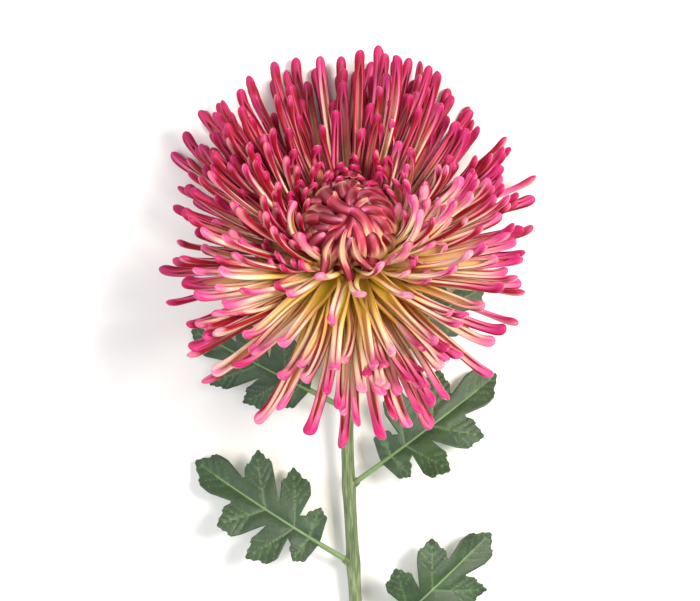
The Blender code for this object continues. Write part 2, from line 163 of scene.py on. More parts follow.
def setUv(verts, layer, placeOf):
    for face in {face for vert in verts for face in vert.link_faces}:
        for loop in face.loops:
            loop[layer].uv = placeOf(loop.vert)


# How the flower lies, as its solids do
lieValues = {
    "tilt": radians(42),  # the bloom's axis above the table
    "height": 0.04,  # of the receptacle
    "stemEnd": Vector((0.004, 0.32, 0.0027)),  # the cut end, with the receptacle over the origin
    "cutSlice": 0.0005,  # of the stem, to find its cut end
    "clearance": 0.0005,  # under the florets that lie on the table
}


def flowerShift():  # from the receptacle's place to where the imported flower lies
    cut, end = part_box("stem")[1].y, lieValues["stemEnd"]
    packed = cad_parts["stem"].data.vertices
    rim = [vert.co.x for vert in packed if vert.co.y > cut - lieValues["cutSlice"]]
    return Vector(((min(rim) + max(rim)) / 2 - end.x, cut - end.y, 0))


shift = flowerShift()


def bloomFrame():  # X to the side, Y up the bloom's back and Z along its axis
    sine, cosine = sin(lieValues["tilt"]), cos(lieValues["tilt"])
    turn = Matrix(((1, 0, 0), (0, sine, cosine), (0, -cosine, sine))).transposed().to_4x4()
    return Matrix.Translation(shift + Vector((0, 0, lieValues["height"]))) @ turn


# Where florets grow, and how they run: the rule of the solids. Angles are in degrees. Bands are of the
# azimuth's sine, which is 1 at the bloom's back and -1 in front.
bloomValues = {
    "receptacle": (0.0118, 0.008),  # radius and rise
    "foot": -0.0031,  # the dome's flat underside
    "seatLimit": 100,
    "goldenAngle": 137.508,
    "seed": 4100,
    "rootReach": 0.004,  # further in, where the quill starts
    "steps": 24,
    "hookStart": 0.86,
    "leanStray": 3,
    "tipStray": 6,
    "swirlStray": 8,
    "lengthStray": 0.05,
    "widthStray": 0.0004,
    "collarHang": (42, 70),
    "hangBand": (0.5, 1),
    "innerLean": (13.2, 22),  # more of it beside the throat, at root and tip
    "innerBands": ((-0.8, 0), (-0.8, 0.2)),
    "clear": {"inner": (1, 0.25), "filler": (0.5, 0.45)},  # off the throat: which part, and from where
    "fan": (-90, 72),  # of upper ones: middle and reach
    "clumps": (24, 24, 24, 162, 162),  # of flank ones
    "clumpReach": 30,
    "rayDroop": 14,
    "rayForward": 0.26,
    "forwardBand": (0.15, 0.95),
    "raySides": 0.12,
    "rayClumping": 6,
    "leanWaves": (4, 2),  # round the bloom, and their turn along it
    "clumpWaves": (5, 9, 4),
    "throat": 42,  # how far inner rays at the back lean out
    "throatBand": (0.4, 0.95),
    "tableKnee": 0.014,
    "tableRest": -0.0036,
    "tableLayer": 0.01,
}

# Pairs are for a kind's innermost and outermost floret. Seats are shares of the receptacle, counted
# from its middle. The last four kinds are the finer ones between those of the solids.
kindNames = "count", "rootLean", "tipLean", "hook", "rootDepth", "length", "width", "seats", "first"
floretKinds = {
    "collar": (30, (66, 70), (-16, 18), 38, 0.003, (0.04, 0.052), (0.005, 0.005), (0.242, 0.367), 58),
    "ray": (152, (52, 97), (20, 97), 36, 0.003, (0.062, 0.0735), (0.0052, 0.0058), (0.367, 1), 88),
    "inner": (66, (58, 70), (-26, -2), 46, 0.0066, (0.032, 0.044), (0.0054, 0.006), (0.22, 0.33), 300),
    "filler": (124, (58, 92), (4, 80), 44, 0.003, (0.043, 0.0655), (0.0046, 0.0052), (0.36, 0.9), 400),
    "upper": (58, (54, 82), (16, 62), 40, 0.003, (0.052, 0.067), (0.005, 0.0056), (0.36, 0.8), 700),
    "flank": (46, (68, 84), (26, 60), 56, 0.0066, (0.029, 0.04), (0.0052, 0.0056), (0.22, 0.46), 600),
}
floretKinds = {name: dict(zip(kindNames, row)) for name, row in floretKinds.items()}


def hangOver(floret):  # back ones hang over the throat, and inner ones lean out beside it
    values, back = bloomValues, sin(floret["azimuth"])
    floret["tipLean"] += between(values["collarHang"], floret["place"]) * ease(back, *values["hangBand"])
    if floret["kind"] == "inner":
        for lean, more, band in zip(("rootLean", "tipLean"), values["innerLean"], values["innerBands"]):
            floret[lean] += more * ease(back, *band)


def spreadOut(floret):  # rays are even over a sphere, gathered in clumps, and droop at the back
    kind, values = floretKinds[floret["kind"]], bloomValues
    place, azimuth = floret["place"], floret["azimuth"]
    middle = [(root + tip) / 2 for root, tip in zip(kind["rootLean"], kind["tipLean"])]
    inner, outer = [cos(radians(lean)) for lean in middle]
    even = degrees(acos(between((inner, outer), place))) - between(middle, place)
    back, side = sin(azimuth), cos(azimuth)
    waves, turn = values["leanWaves"]
    wave = values["leanStray"] * sin(waves * azimuth + turn * place)
    lean = even + values["rayDroop"] * place * max(0, back) + wave
    lean += values["throat"] * (1 - place) * ease(back, *values["throatBand"])
    wide, close, turn = values["clumpWaves"]
    clump = sin(wide * azimuth) + sin(close * azimuth + turn * place) / 2
    floret["azimuth"] += radians(values["rayClumping"] * clump)
    floret["rootLean"] += lean
    floret["tipLean"] += lean
    forward = values["rayForward"] * ease(-back, *values["forwardBand"])
    floret["length"] *= 1 + forward - values["raySides"] * side * side


def grownFlorets(kindName):
    kind, values, made = floretKinds[kindName], bloomValues, []
    limit = 1 - cos(radians(values["seatLimit"]))
    clearPart, clearFrom = values["clear"].get(kindName, (0, 1))
    for at in range(kind["count"]):
        index, place = kind["first"] + at, at / kind["count"]
        draw = random.Random(values["seed"] + index)
        spread = lambda stray: draw.uniform(-stray, stray)
        azimuth = index * radians(values["goldenAngle"])
        if place < clearPart and sin(azimuth) > clearFrom:
            continue
        if kindName == "flank":
            clump = values["clumps"][at % len(values["clumps"])]
            azimuth = radians(clump + spread(values["clumpReach"]))
        if kindName == "upper":
            azimuth = radians(values["fan"][0] + values["fan"][1] * sin(azimuth))
        floret = {
            "kind": kindName,
            "place": place,
            "azimuth": azimuth,
            "seat": acos(1 - between(kind["seats"], (at + 0.5) / kind["count"]) * limit),
            "rootLean": between(kind["rootLean"], place) + spread(values["leanStray"]),
            "tipLean": between(kind["tipLean"], place) + spread(values["tipStray"]),
            "hook": kind["hook"] + spread(values["tipStray"]),
            "swirl": spread(values["swirlStray"]),
            "length": between(kind["length"], place) * (1 + spread(values["lengthStray"])),
            "width": between(kind["width"], place) + spread(values["widthStray"]),
            "rest": values["tableRest"] + values["tableLayer"] * (1 - place),
            "draw": draw,
        }
        if kindName in ("collar", "inner"):
            hangOver(floret)
        elif kindName != "flank":
            spreadOut(floret)
        made.append(floret)
    return made


def overTable(height, direction, rest):  # levels out a floret near its rest height
    knee = bloomValues["tableKnee"]
    if direction.z >= 0 or height >= knee:
        return direction
    falling = direction.z * max(0, (height - rest) / (knee - rest))
    level = Vector((direction.x, direction.y, 0)).normalized() * sqrt(1 - falling * falling)
    return Vector((level.x, level.y, falling))


def floretPath(floret):  # its points, and how it runs and faces at each
    values = bloomValues
    whole = bloomFrame()
    turn = whole.to_3x3()
    radius, rise = values["receptacle"]
    seat = heading(floret["azimuth"], radius * sin(floret["seat"]), rise * cos(floret["seat"]))
    points, runs, faces = [], [], []
    for index in range(values["steps"] + 1):
        share = index / values["steps"]
        hook = floret["hook"] * max(0, share - values["hookStart"]) / (1 - values["hookStart"])
        lean = radians(between((floret["rootLean"], floret["tipLean"]), share) - hook)
        out = heading(floret["azimuth"] + radians(floret["swirl"]) * share * share)
        run = turn @ (out * sin(lean) + upright * cos(lean))
        face = turn @ (upright * sin(lean) - out * cos(lean))
        if index:
            point = points[-1] + runs[-1] * floret["length"] / values["steps"]
        else:
            point = whole @ seat - run * floretKinds[floret["kind"]]["rootDepth"]
        run = overTable(point.z, run, floret["rest"])
        points.append(point)
        runs.append(run)
        faces.append(squared(face, run))
    points[0] -= runs[0] * values["rootReach"]
    return points, runs, faces


# The claws of the eye close over its heart. Each runs up round the dome's middle to its own height,
# the outer ones over the inner ones, and curls in at its tip. Pairs are for the innermost and the
# outermost claw, and a power leads from one to the other. A few narrow claws hang over the throat.
clawValues = {
    "count": 50,
    "middle": 0.0168,  # of the dome, above the receptacle's
    "lean": 22,  # back from the bloom's axis
    "radius": (0.0126, 0.0192),
    "radiusStray": 0.0013,
    "bulge": 0.05,
    "rootAngle": (150, 20),  # and how much further at the back
    "tipAngle": (-14, 70),
    "tipPower": 1.3,
    "angleStray": 16,
    "swirl": (118, 6),
    "swirlPower": 0.6,
    "curl": 0.0018,
    "curlStray": 0.0022,
    "curlStart": 0.74,
    "curlEnd": 1.02,
    "tuck": 0.009,  # of the roots, inwards
    "tuckEnd": 0.62,
    "width": (0.005, 0.007),
    "seed": 7200,
}
hangingClaws = ((80, 30, 84), (99, 38, 76), (58, 44, 80))  # azimuth, root angle and tip angle
hangingValues = {
    "radius": 0.0204,
    "curl": -0.0052,
    "curlStart": 0.6,
    "swirl": 8,
    "tuck": 0.0056,
    "width": 0.00392,
    "seed": 7700,
    "places": ((0, 0.9), (0.3, 0.8), (0.52, 0.75), (0.66, 0.82), (0.82, 0.94), (1, 1)),  # of its colours
}


def clawPath(claw):
    values = clawValues
    middle = Matrix.Translation((0, 0, values["middle"]))
    whole = bloomFrame() @ middle @ Matrix.Rotation(-radians(values["lean"]), 4, "X")
    points, faces = [], []
    for index in range(bloomValues["steps"] + 1):
        share = index / bloomValues["steps"]
        polar = radians(between((claw["rootAngle"], claw["tipAngle"]), share))
        radius = claw["radius"] * (1 + values["bulge"] * sin(pi * share))
        radius -= claw["curl"] * ease(share, claw["curlStart"], values["curlEnd"])
        radius -= claw["tuck"] * (1 - ease(share, 0, values["tuckEnd"]))
        azimuth = claw["azimuth"] + radians(claw["swirl"]) * share * share
        out = heading(azimuth, sin(polar), cos(polar))
        points.append(whole @ (out * radius))
        faces.append(whole.to_3x3() @ -out)
    runs = [(after - before).normalized() for before, after in zip(points, points[1:])]
    runs.append(runs[-1])
    return points, runs, list(map(squared, faces, runs))


def grownClaws():
    values, made = clawValues, []
    for index in range(values["count"]):
        draw = random.Random(values["seed"] + index)
        spread = lambda stray: draw.uniform(-stray, stray)
        place = acos(1 - (index + 0.5) / values["count"]) / (pi / 2)
        azimuth = index * radians(bloomValues["goldenAngle"])
        tipPlace, swirlPlace = place ** values["tipPower"], place ** values["swirlPower"]
        made.append({
            **values,
            "kind": "eye",
            "azimuth": azimuth,
            "rootAngle": values["rootAngle"][0] + values["rootAngle"][1] * sin(azimuth),
            "tipAngle": between(values["tipAngle"], tipPlace) + spread(values["angleStray"]),
            "radius": between(values["radius"], place) + spread(values["radiusStray"]),
            "curl": values["curl"] + spread(values["curlStray"]),
            "swirl": between(values["swirl"], swirlPlace) + spread(bloomValues["swirlStray"]),
            "width": between(values["width"], place) + spread(bloomValues["widthStray"]),
            "draw": draw,
        })
    for number, (azimuth, rootAngle, tipAngle) in enumerate(hangingClaws):
        own = {"azimuth": radians(azimuth), "rootAngle": rootAngle, "tipAngle": tipAngle, "kind": "eye"}
        made.append({**hangingValues, **own, "draw": random.Random(hangingValues["seed"] + number)})
    return made


def onPath(path, share):  # the place at a share of the path
    at = share * (len(path[0]) - 1)
    low = min(int(at), len(path[0]) - 2)
    point, run, face = [line[low].lerp(line[low + 1], at - low) for line in path]
    return point, run.normalized(), face.normalized()


# A floret is a strap rolled to a quill at its root, which opens to a channel and ends in a blunt hood.
# Bands are shares of its length. Front is 1 for florets in front and 0 at the bloom's back. Of each
# kind, at each row: width as a share of the floret's own, depth in mm, and half the angle it wraps.
strapValues = {
    "columns": 6,
    "rows": (0, 0.14, 0.3, 0.46, 0.6, 0.72, 0.82, 0.89, 0.935, 0.968, 0.99, 1),
    "thickness": 0.0004,
    "openStray": (-58, 22),  # degrees, most of them near the second
    "openPower": 0.5,
    "openBack": 0.6,
    "openBand": (0.2, 0.7),
    "closeBand": (0.82, 0.94),
    "rollLimit": 184,
    "wobble": (0.05, 21),  # share and waves
    "turn": 30,  # about its run, and more of it by the tip
    "turnBand": (0.1, 0.5),
    "twist": 60,
    "eyeTwist": 18,
    "sway": 0.0032,
    "swayWaves": 4,
    "notch": 0.0005,
    "notchBand": (0.95, 1),
    "lying": 0.0024,  # the least height of its middle
    "broader": 0.12,  # at the back
    "skirt": 0.75,  # how much wider roots under the throat are
    "skirtFront": (0.05, 0.5),  # of florets with less of it
    "skirtBand": (0.1, 0.55),
    "skirtRoll": 60,
    "frontShare": 0.43,
    "sideShare": {"ray": 0.04, "filler": 0.04, "upper": 0.04},  # how far the left counts as front
    "innerSideShare": 0.26,
    "frontBand": (0.15, 0.95),
    "fate": (0.6, 0.4),  # how early it is pink: stray, and front
    "flush": (0.5, 0.42),  # how red it is
    # more red on the left florets: partly the left clump's own flush, partly painted shade on the side away
    # from the key light
    "leftFlushAndShade": 0.14,
    "eyeFate": (0.22, 0.7),
    "eyeFlush": (0.4, 0.9),
}
strapProfiles = {
    "ray": (
        (0.56, 0.672, 0.8, 0.8213, 0.84, 0.8291, 0.82, 0.84, 0.96, 0.96, 0.66, 0.03),
        (1.7, 1.913, 2.1565, 2.4, 2.5167, 2.6167, 2.7, 2.9, 3.4, 3.2, 2.2, 0.2),
        (174, 173.07, 172, 165.6, 160, 157.82, 156, 172, 184, 184, 184, 184),
    ),
    "inner": (
        (0.5, 0.64, 0.8, 0.9067, 1, 1.0109, 1.02, 0.96, 0.9, 0.78, 0.52, 0.03),
        (1.6, 1.8435, 2.1217, 2.4, 2.5556, 2.6889, 2.8, 2.8, 2.8, 2.4, 1.6, 0.2),
        (168, 155.87, 142, 126, 112, 110.91, 110, 134, 172, 178.09, 182.15, 184),
    ),
    "eye": (
        (0.5, 0.668, 0.86, 0.9773, 1.08, 1.0691, 1.06, 0.9504, 0.88, 0.7, 0.2531, 0.05),
        (1.6, 1.9043, 2.2522, 2.6, 3.0308, 3.4, 3.5765, 3.7, 3.3, 2.5, 0.9188, 0.2),
        (150, 134.13, 116, 107.47, 100, 103.27, 106, 124.26, 136, 154.28, 166.46, 172),
    ),
}
for name, like in {"collar": "ray", "filler": "ray", "upper": "ray", "flank": "inner"}.items():
    strapProfiles[name] = strapProfiles[like]


def floretLooks(floret):  # its own, by its draws and its place in the bloom
    values, draw, inEye = strapValues, floret["draw"], floret["kind"] == "eye"
    own = {}
    openness = draw.random() ** values["openPower"]
    own["turn"] = 0 if inEye else radians(draw.uniform(-1, 1) * values["turn"])
    own["twist"] = radians(draw.uniform(-1, 1) * values["eyeTwist" if inEye else "twist"])
    own["sway"] = draw.uniform(-1, 1) * values["sway"]
    own["phase"] = draw.uniform(0, 6)
    own["notch"] = draw.uniform(0, 1) * values["notch"]
    left = cos(floret["azimuth"])
    sideShare = values["sideShare"].get(floret["kind"], values["innerSideShare"])
    front = 0.5 - values["frontShare"] * sin(floret["azimuth"]) + sideShare * left
    front = ease(front, *values["frontBand"])
    opening = between((openness, 1), values["openBack"] * (1 - front))
    own["opening"] = between(values["openStray"], opening)
    for name in ("fate", "flush"):
        stray, frontShare = values[name]
        own[name] = draw.random() * stray + frontShare * front
    # partly painted shade: the left side, away from the key light, is made redder
    own["flush"] += values["leftFlushAndShade"] * max(0, left) * (1 - front)
    if inEye:
        own["fate"] = between(values["eyeFate"], draw.random())
        own["flush"] = between(values["eyeFlush"], own["flush"])
    own["skirt"] = 0 if inEye else values["skirt"] * (1 - ease(front, *values["skirtFront"]))
    own["breadth"] = 1 if inEye else 1 + values["broader"] * (1 - front)
    return own


def addFloret(mesh, floret):
    values, own = strapValues, floretLooks(floret)
    path = clawPath(floret) if floret["kind"] == "eye" else floretPath(floret)
    across, along, fate, flush = mesh.verts.layers.float.values()
    rows, columns = values["rows"], values["columns"]
    profile = list(zip(rows, *strapProfiles[floret["kind"]]))
    grid = ops.create_grid(mesh, x_segments=columns, y_segments=len(rows) - 1, size=1)["verts"]
    for vert in grid:
        side = vert.co.x
        share, width, depth, roll = profile[round((vert.co.y + 1) / 2 * (len(rows) - 1))]
        point, run, face = onPath(path, share)
        point.z = max(point.z, values["lying"])
        turned = own["turn"] * ease(share, *values["turnBand"]) + own["twist"] * share * share
        face.rotate(Matrix.Rotation(turned, 3, run))
        right = face.cross(run)
        point = point + right * own["sway"] * sin(own["phase"] + values["swayWaves"] * share) * share
        skirt = own["skirt"] * (1 - ease(share, *values["skirtBand"]))
        roll += ease(share, *values["openBand"]) * (1 - ease(share, *values["closeBand"])) * own["opening"]
        angle = side * radians(min(roll, values["rollLimit"]) - values["skirtRoll"] * skirt)
        wobble, waves = values["wobble"]
        width *= 1 + wobble * sin(own["phase"] + waves * share)
        width *= floret["width"] * own["breadth"] * (1 + skirt)
        vert.co = point + right * width / 2 * sin(angle) - face * depth / 2000 * cos(angle)
        vert.co -= run * own["notch"] * (1 - abs(side)) ** 2 * ease(share, *values["notchBand"])
        vert.co.z = max(vert.co.z, lieValues["clearance"])
        vert[across], vert[fate], vert[flush] = side, own["fate"], own["flush"]
        vert[along] = alongStops(floret.get("places", ((0, 0), (1, 1))), share)
    setUv(grid, mesh.loops.layers.uv["petal"], lambda vert: ((vert[across] + 1) / 2, vert[along]))


def floretPiece(name, florets, materials):
    mesh = bmesh.new()
    for layer in ("across", "along", "fate", "flush"):
        mesh.verts.layers.float.new(layer)
    mesh.loops.layers.uv.new("petal")
    for floret in florets:
        addFloret(mesh, floret)
    piece = finishPiece(mesh, name, materials, ["bloom"], "florets")
    addThickness(piece, strapValues["thickness"], 1, 1)
    addSubdivision(piece)


# Fresh chrysanthemum petal, grown: waxy, a little translucent, with fine parallel veins. Cream-yellow
# flesh from a greenish gold root, washed with salmon and magenta pink towards the tip, a crimson flush
# heaped on the rolled sides as painted shade, a painted highlight as a pale line down the strap's middle,
# and thin margins: rosy, or cream on a claw. Crimson, highlight and margin bands are of the distance
# from the middle, the others of the length.
petalValues = {
    "shader": {
        "Roughness": 0.4,
        "Sheen_Weight": 0.03,
        "Specular_IOR_Level": 0.22,  # its cells scatter the gloss
        "Subsurface_Weight": 0.22,
        "Subsurface_Radius": (1, 0.35, 0.25),
        "Subsurface_Scale": 0.001,
    },
    "streaks": (9, 2, 60),  # across a 7 mm strap, along it, and from one to the next
    "streakStray": 0.34,  # how far the streaks shift the colours
    "fateStray": 0.46,
    "setBack": 0.4,
    "crimsonKept": 0.25,  # at the tip
    # how the crimson falls off its line on the rolled sides, where it is painted shade
    "crimsonSideShadeBand": (0.04, 0.22),
    "flushWeight": 1.1,
    "crimsonRange": (0.94, 1.38),
    # the painted highlight line down the middle, and where along the strap it starts
    "paintedHighlightBand": (0.02, 0.17),
    "paintedHighlightStart": (0.35, 0.75),
    "marginEnd": 0.49,
    "tipBand": (0.75, 0.97),
    "veins": (0.7, 0.00016),  # strength and depth
}

# Stops run from root to tip. The crimson, a real flush, has its window of the length, its line across the
# strap, where it is heaped on the rolled sides as painted shade, and shares on that line and off it. The
# ridge is the
# painted highlight line: its colour and share. A margin has its share, what is left of it at the tip, and
# where it starts.
petalLooks = {
    "chrysanthemumPetalBack": {
        "stops": ((0, "#bea21c"), (0.22, "#d8bc40"), (0.38, "#f0d478"), (0.54, "#fbeec6"), (0.68, "#fad2c0"),
                  (0.78, "#f088aa"), (0.88, "#e25a9a"), (0.97, "#cc2e78"), (1, "#be2068")),
        "crimson": ("#960e22", (0.22, 0.5), (0.92, 1), 0.25, (0.4, -0.16)),
        "ridge": ("#f8bc9c", 0.4),
        "margin": ("#ea8098", 0.6, 0.2, 0.4),
    },
    "chrysanthemumPetalFace": {
        "stops": ((0, "#b69c1a"), (0.26, "#dcc048"), (0.5, "#f2d688"), (0.7, "#f2c08c"), (0.83, "#dc6c64"),
                  (0.92, "#d03868"), (1, "#be265e")),
        "crimson": ("#a01430", (0.16, 0.48), (0.9, 1), 0.44, (0.2, -0.24)),
        "ridge": ("#f0c4a0", 0.25),
        "margin": ("#d84c6c", 0.55, 0.4, 0.4),
    },
    "chrysanthemumClawBack": {
        # the first two stops are painted shade: the root darkened under the claws that lie over it
        "stops": ((0, "#7c4c28"), (0.36, "#a8703c"), (0.58, "#e0b07c"), (0.7, "#eab890"), (0.77, "#cc3c58"),
                  (0.84, "#a01234"), (0.93, "#ae1e50"), (0.98, "#d04c8c"), (1, "#ee98c0")),
        "crimson": ("#6c061a", (0.68, 0.82), (0.97, 1), 0.26, (0.38, -0.04)),
        "ridge": ("#f4a4ac", 0.13),
        "margin": ("#f2c8a4", 0.95, 0.75, 0.33),
    },
    "chrysanthemumClawFace": {
        "stops": ((0, "#90642a"), (0.3, "#aa7c44"), (0.58, "#a87c4c"), (0.78, "#9c5044"), (0.92, "#a0304c"),
                  (1, "#a83056")),
        "crimson": ("#761a2c", (0.2, 0.45), (0.85, 1), 0.25, (0.05, -0.14)),
        "ridge": ("#bc9060", 0.4),
        "margin": ("#ecc49c", 0.9, 0.6, 0.4),
    },
}


def tinted(add, ground, colour, one, other):  # as far as both shares say
    share = add("Math", (one, other), "MULTIPLY")
    return add("Mix", {0: share, 6: ground, 7: linear(colour)}, output=2, data_type="RGBA")


def petalMaterial(name):
    values, looks, eased = petalValues, petalLooks[name], {"interpolation_type": "SMOOTHSTEP"}
    made, add = newMaterial(name, **values["shader"])
    across, along, side = stripPlaces(add, "petal")
    fate, flush = [add("Attribute", output="Fac", attribute_name=layer) for layer in ("fate", "flush")]
    spots = zip((across, along, fate), values["streaks"])
    spot = add("CombineXYZ", [add("Math", pair, "MULTIPLY") for pair in spots])
    streak = add("TexNoise", {"Vector": spot, "Scale": 1, "Detail": 3})
    # from root to tip, each floret's own way and drawn out in streaks
    strayed = add("Math", (streak, values["streakStray"], along), "MULTIPLY_ADD")
    shifted = add("Math", (fate, values["fateStray"], strayed), "MULTIPLY_ADD")
    placed = add("Math", (shifted, values["setBack"]), "SUBTRACT")
    ground = add("ValToRGB", [placed], stops=looks["stops"])
    # the crimson: a flush in streaks, more on some florets than on others, heaped on the rolled sides as
    # painted shade
    crimson, starting, ending, line, shares = looks["crimson"]
    rising = add("MapRange", (along, *starting), **eased)
    falling = add("MapRange", (along, *ending, 1, values["crimsonKept"]), **eased)
    inWindow = add("Math", (rising, falling), "MULTIPLY")
    offLine = add("Math", (side, line), "SUBTRACT")
    fromLine = add("Math", [offLine], "ABSOLUTE")
    crimsonSideShade = add("MapRange", (fromLine, *values["crimsonSideShadeBand"], *shares), **eased)
    wanted = add("Math", (flush, values["flushWeight"], streak), "MULTIPLY_ADD")
    both = add("Math", (wanted, crimsonSideShade), "ADD")
    amount = add("MapRange", (both, *values["crimsonRange"]), **eased)
    colour = tinted(add, ground, crimson, inWindow, amount)
    # the painted highlight, a pale line down the middle, and the margins
    ridge, paintedHighlightShare = looks["ridge"]
    onPaintedHighlight = add("MapRange", (side, *values["paintedHighlightBand"], paintedHighlightShare, 0), **eased)
    outwards = add("MapRange", (along, *values["paintedHighlightStart"]))
    colour = tinted(add, colour, ridge, onPaintedHighlight, outwards)
    margin, marginShare, kept, start = looks["margin"]
    edge = add("MapRange", (side, start, values["marginEnd"]), **eased)
    tipwards = add("MapRange", (along, *values["tipBand"], marginShare, marginShare * kept))
    colour = tinted(add, colour, margin, edge, tipwards)
    return dressShader(made, colour, streak, *values["veins"])


rays = grownFlorets("ray")
half = len(rays) // 2
florets = {
    "innerRays": rays[:half],
    "outerRays": rays[half:],
    "fillerRays": grownFlorets("filler"),
    "upperRays": grownFlorets("upper"),
    "collarFlorets": grownFlorets("collar"),
    "innerFlorets": grownFlorets("inner") + grownFlorets("flank"),
    "eyeClaws": grownClaws(),
}
petalBack, petalFace, clawBack, clawFace = [petalMaterial(name) for name in petalLooks]
for name, grown in florets.items():
    floretPiece(name, grown, [clawBack, clawFace] if name == "eyeClaws" else [petalBack, petalFace])
print("florets grown:", sum(len(grown) for grown in florets.values()))

# The dome that the florets stand on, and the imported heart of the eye
domeValues = {
    "grid": (32, 18),
    "heart": (0.01235, 0.01344, 0.0144, 0.002),  # radius, rise, middle and foot
}


def only(kind, parts):
    return [part for part in parts if isinstance(part, kind)]


def closedPiece(mesh, *details):
    ops.recalc_face_normals(mesh, faces=mesh.faces)
    return finishPiece(mesh, *details)


def domePiece(name, radius, rise, middle, foot, material):
    mesh = bmesh.new()
    segments, rings = domeValues["grid"]
    ops.create_uvsphere(mesh, u_segments=segments, v_segments=rings, radius=1)
    sized = Matrix.Translation((0, 0, middle)) @ Matrix.Diagonal((radius, radius, rise, 1))
    ops.transform(mesh, matrix=sized, verts=mesh.verts)
    whole = mesh.verts[:] + mesh.edges[:] + mesh.faces[:]
    plane = {"plane_co": (0, 0, foot), "plane_no": (0, 0, 1)}
    cut = ops.bisect_plane(mesh, geom=whole, **plane, clear_inner=True)
    ops.holes_fill(mesh, edges=only(bmesh.types.BMEdge, cut["geom_cut"]))
    ops.transform(mesh, matrix=bloomFrame(), verts=mesh.verts)
    closedPiece(mesh, name, [material], ["bloom"], "florets")


def fleshMaterial(name, grain, light, dark, darkest, relief=(), **sockets):  # grain is a cell's size
    made, add = newMaterial(name, Subsurface_Scale=0.001, **sockets)
    spot = add("TexCoord", output="Object")
    cells = add("TexVoronoi", {"Vector": spot, "Scale": 1 / grain})
    tone = add("ValToRGB", [cells], stops=((0, light), (darkest, dark)))
    return dressShader(made, tone, cells, *relief)


# Receptacle and packed floret roots, grown: moist flesh with a scar or a root every 1.5 or 2.2 mm
moist = {"darkest": 0.8, "relief": (0.8, 0.0004), "Roughness": 0.6, "Subsurface_Weight": 0.2}
receptacleFlesh = fleshMaterial("receptacleFlesh", 0.0015, "#d6c648", "#8c7a28", **moist)
heartFlesh = fleshMaterial("packedFloretHeart", 0.0022, "#8a2038", "#4a0c1a", **moist)
domePiece("receptacle", *bloomValues["receptacle"], 0, bloomValues["foot"], receptacleFlesh)
domePiece("eyeHeart", *domeValues["heart"], heartFlesh)


# Tubes: a ring set at each placement in turn, drawn out from one to the next
def drawOut(mesh, placements, segments, ridge=0, ridges=0):
    ring = ops.create_circle(mesh, segments=segments, radius=1)["verts"]
    for vert in ring:
        vert.co *= 1 - ridge * (1 - cos(ridges * atan2(vert.co.y, vert.co.x))) / 2
    edges = list({edge for vert in ring for edge in vert.link_edges})
    ops.holes_fill(mesh, edges=edges)
    placed = Matrix.Identity(4)
    for number, there in enumerate(placements):
        if number:
            grown = ops.extrude_edge_only(mesh, edges=edges)["geom"]
            ring = only(bmesh.types.BMVert, grown)
            inside = set(ring)
            edges = [edge for edge in only(bmesh.types.BMEdge, grown) if inside.issuperset(edge.verts)]
        ops.transform(mesh, matrix=there @ placed.inverted(), verts=ring)
        placed = there
    return ops.holes_fill(mesh, edges=edges)["faces"]


def placement(point, run, face, radius):  # stands a unit ring across a run
    side = face.cross(run).normalized()
    turn = Matrix((side * radius, face * radius, run)).transposed().to_4x4()
    return Matrix.Translation(point) @ turn


# The calyx: a cup under the bloom, shingled with rows of bracts
calyxValues = {
    "gap": 0.0003,  # to the receptacle, and to the stem
    "depth": 0.0085,
    "cup": ((0, 0.0038), (0.14, 0.0051), (0.48, 0.0088), (0.78, 0.0105), (1, 0.011)),  # radius up it
    "segments": 26,
    "count": 13,
    "rows": (  # start and end in the depth, height off the cup, and width
        (0.02, 0.58, 0.001, 0.0046),
        (0.08, 0.84, 0.0007, 0.0054),
        (0.16, 1.06, 0.0003, 0.0058),
    ),
    "seedStep": 50,
    "grid": (4, 6),
    "turnStray": 0.08,
    "reachStray": 0.03,
    "outlineStart": 0.22,
    "fullness": 0.75,  # of the outline
    "keel": 0.0003,
    "flare": 0.0006,
    "thickness": 0.0003,
}
calyxTop = bloomValues["foot"] - calyxValues["gap"]


def calyxCup(material):
    mesh, placements = bmesh.new(), []
    for share, radius in calyxValues["cup"]:
        middle = Matrix.Translation((0, 0, calyxTop - calyxValues["depth"] * (1 - share)))
        placements.append(bloomFrame() @ middle @ Matrix.Diagonal((radius, radius, 1, 1)))
    drawOut(mesh, placements, calyxValues["segments"])
    closedPiece(mesh, "calyxCup", [material], ["calyx"], "calyx")


def calyxBracts(material):
    values, whole, mesh = calyxValues, bloomFrame(), bmesh.new()
    columns, lengths = values["grid"]
    uvLayer = mesh.loops.layers.uv.new("bract")
    for row, (low, high, proud, width) in enumerate(values["rows"]):
        for number in range(values["count"]):
            draw = random.Random(row * values["seedStep"] + number)
            step = number + row % 2 / 2 + draw.uniform(-values["turnStray"], values["turnStray"])
            reach = high + draw.uniform(-values["reachStray"], values["reachStray"])
            grid = ops.create_grid(mesh, x_segments=columns, y_segments=lengths, size=1)["verts"]
            setUv(grid, uvLayer, lambda vert: (vert.co.xy + Vector((1, 1))) / 2)
            for vert in grid:
                side, share = vert.co.x, (vert.co.y + 1) / 2
                up = between((low, reach), share)
                rounded = sin(pi * min(1, between((values["outlineStart"], 1), share)))
                radius = alongStops(values["cup"], min(up, 1)) + proud
                radius += values["keel"] * (1 - side * side) + values["flare"] * share ** 3
                angle = step * 2 * pi / values["count"]
                angle += side * rounded ** values["fullness"] * width / 2 / radius
                vert.co = whole @ heading(angle, radius, calyxTop - values["depth"] * (1 - up))
    piece = finishPiece(mesh, "calyxBracts", [material], ["calyx"], "calyx")
    addThickness(piece, values["thickness"])
    addSubdivision(piece)


